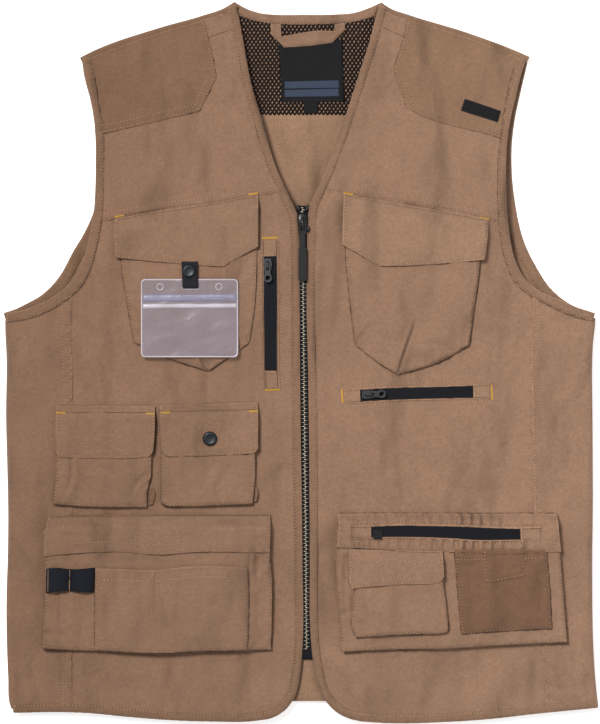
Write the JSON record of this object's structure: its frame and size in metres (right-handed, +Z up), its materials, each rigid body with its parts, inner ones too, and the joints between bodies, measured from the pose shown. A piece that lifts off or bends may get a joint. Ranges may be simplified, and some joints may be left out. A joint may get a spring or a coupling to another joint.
{
  "type": "utility work vest",
  "caption": "Sleeveless zip-front work vest lying flat, with cargo, flap, zip and tool pockets, a clear badge holder, a net-lined neck and hinged zip pulls",
  "frame": {"origin": "under the middle of the garment's box, on the surface it lies on", "axes": "+Y towards the neck, +X towards the wearer's left side, +Z up out of the front"},
  "size_m": [0.5952, 0.7216, 0.0323],
  "materials": {
    "shell": "plain woven cotton blend, matt",
    "patch": "plain woven cotton blend, matt, a shade darker",
    "flap": "plain woven cotton blend, matt, a shade lighter",
    "band": "folded binding with a stitched edge, matt",
    "net": "open knitted net, matt",
    "label": "smooth woven label",
    "webbing": "tight woven tape, matt",
    "zip": "woven zip tape with moulded coil teeth",
    "main_zip": "moulded teeth on a woven tape",
    "pull": "matt moulded rubber",
    "metal": "dark plated metal, satin",
    "clear": "soft clear sheet, glossy"
  },
  "bodies": {
    "garment": {"front_panel_right": "shell", "front_panel_left": "shell", "back_panel": "shell", "side_panel_right": "shell", "side_panel_left": "shell", "front_yoke_right": "shell", "front_yoke_left": "shell", "shoulder_fold_right": "shell", "shoulder_fold_left": "shell", "chest_pocket_right": "shell", "chest_pocket_left": "shell", "outer_pocket": "shell", "inner_pocket": "shell", "cargo_pocket_right": "shell", "cargo_pocket_left": "shell", "neck_band": "shell", "hang_loop": "shell", "shoulder_patch_right": "patch", "shoulder_patch_left": "patch", "cargo_flap_right": "patch", "outer_flap": "patch", "inner_flap": "patch", "tool_pocket": "patch", "phone_pocket": "patch", "phone_flap": "patch", "note_pocket": "patch", "hanging_tab": "patch", "chest_flap_right": "flap", "chest_flap_left": "flap", "chest_zip_frame": "flap", "waist_zip_frame": "flap", "cargo_zip_flap": "flap", "armhole_band_front_right": "band", "armhole_band_front_left": "band", "armhole_band_back_right": "band", "armhole_band_back_left": "band", "front_band_right": "band", "front_band_left": "band", "mesh_lining": "net", "neck_label": "label", "size_label": "label", "shoulder_label": "label", "badge_strap": "webbing", "elastic_loops": "webbing", "chest_zip": "zip", "waist_zip": "zip", "cargo_zip": "zip", "main_zip": "main_zip", "main_zip_slider": "metal", "chest_zip_slider": "metal", "waist_zip_slider": "metal", "cargo_zip_slider": "metal", "badge_snap": "metal", "inner_flap_snap": "metal", "badge_holder": "clear"},
    "main_pull": {"main_zip_pull": "pull"},
    "chest_pull": {"chest_zip_pull": "metal"},
    "waist_pull": {"waist_zip_pull": "metal"}
  },
  "joints": [
    {"name": "main_zip_pull_hinge", "type": "hinge", "parent": "garment", "child": "main_pull", "pos_m": [0.00222, 0.14123, 0.02122], "axis": [-1, 0, 0], "range_deg": [0, 150]},
    {"name": "chest_zip_pull_hinge", "type": "hinge", "parent": "garment", "child": "chest_pull", "pos_m": [-0.03274, 0.09694, 0.02133], "axis": [-0.9998, -0.0209, 0], "range_deg": [0, 150]},
    {"name": "waist_zip_pull_hinge", "type": "hinge", "parent": "garment", "child": "waist_pull", "pos_m": [0.0686, -0.03193, 0.02026], "axis": [0.0401, -0.9992, 0], "range_deg": [0, 150]}
  ]
}
